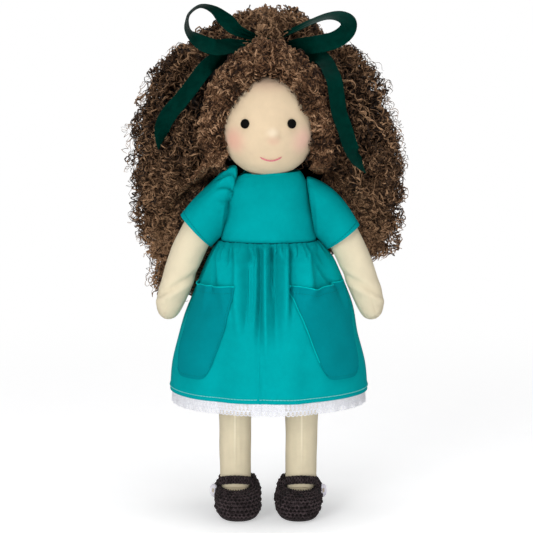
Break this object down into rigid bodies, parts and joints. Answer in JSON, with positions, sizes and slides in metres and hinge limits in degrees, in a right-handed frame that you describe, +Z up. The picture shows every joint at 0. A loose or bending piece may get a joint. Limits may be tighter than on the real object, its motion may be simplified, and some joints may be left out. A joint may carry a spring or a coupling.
{
  "type": "waldorf doll",
  "caption": "Standing stuffed cloth doll with curly hair, a satin bow, a gathered dress with patch pockets, lace hem and crocheted shoes.",
  "frame": {"origin": "on the floor, at the middle of the box around the doll", "axes": "+Z up through the head, +X towards the doll's left hand, and the doll faces -Y"},
  "size_m": [0.1624, 0.0928, 0.3089],
  "materials": {
    "jersey": "fine cotton knit, matt",
    "wool": "loose carded wool",
    "cotton": "plain weave with a soft sheen",
    "lace": "matt white lace",
    "mohair": "curly strands",
    "cap_yarn": "crocheted yarn",
    "satin": "glossy satin weave",
    "crochet": "crocheted yarn, matt",
    "shell": "glossy, pearl-like",
    "bead": "glossy",
    "thread": "stranded thread"
  },
  "bodies": {
    "torso": {"torso_skin": "jersey", "torso_stuffing": "wool", "bodice_front": "cotton", "bodice_back_left": "cotton", "bodice_back_right": "cotton", "back_button_upper": "shell", "back_button_lower": "shell", "skirt": "cotton", "pocket_left": "cotton", "pocket_right": "cotton", "lace_trim": "lace"},
    "head": {"head_skin": "jersey", "head_stuffing": "wool", "nose_pad": "wool", "eye_left": "bead", "eye_right": "bead", "mouth_thread": "thread", "neck_tie": "thread", "hair_cap": "cap_yarn", "hair_crown": "mohair", "hair_left": "mohair", "hair_right": "mohair", "hair_back": "mohair", "ribbon_knot": "satin", "ribbon_loop_left": "satin", "ribbon_loop_right": "satin", "ribbon_tail_left": "satin", "ribbon_tail_right": "satin"},
    "arm_left": {"arm_left_skin": "jersey", "arm_left_stuffing": "wool", "sleeve_left": "cotton"},
    "arm_right": {"arm_right_skin": "jersey", "arm_right_stuffing": "wool", "sleeve_right": "cotton"},
    "leg_left": {"leg_left_skin": "jersey", "leg_left_stuffing": "wool", "shoe_sole_left": "crochet", "shoe_upper_left": "crochet", "shoe_strap_left": "crochet", "shoe_button_left": "shell"},
    "leg_right": {"leg_right_skin": "jersey", "leg_right_stuffing": "wool", "shoe_sole_right": "crochet", "shoe_upper_right": "crochet", "shoe_strap_right": "crochet", "shoe_button_right": "shell"}
  },
  "joints": [
    {"name": "head_turn", "type": "hinge", "parent": "torso", "child": "head", "pos_m": [0, 0, 0.208], "axis": [0, 0, 1], "range_deg": [-30, 30], "deforming": ["hair_crown", "hair_left", "hair_right", "hair_back"]},
    {"name": "shoulder_left", "type": "hinge", "parent": "torso", "child": "arm_left", "pos_m": [0.0285, 0, 0.1965], "axis": [-1, 0, 0], "range_deg": [-30, 110], "deforming": ["sleeve_left"]},
    {"name": "shoulder_right", "type": "hinge", "parent": "torso", "child": "arm_right", "pos_m": [-0.0285, 0, 0.1965], "axis": [-1, 0, 0], "range_deg": [-30, 110], "deforming": ["sleeve_right"]},
    {"name": "hip_left", "type": "hinge", "parent": "torso", "child": "leg_left", "pos_m": [0.0204, 0.0045, 0.0995], "axis": [-1, 0, 0], "range_deg": [-10, 90], "deforming": ["skirt", "pocket_left"]},
    {"name": "hip_right", "type": "hinge", "parent": "torso", "child": "leg_right", "pos_m": [-0.0204, 0.0045, 0.0995], "axis": [-1, 0, 0], "range_deg": [-10, 90], "deforming": ["lace_trim", "pocket_right"]}
  ]
}
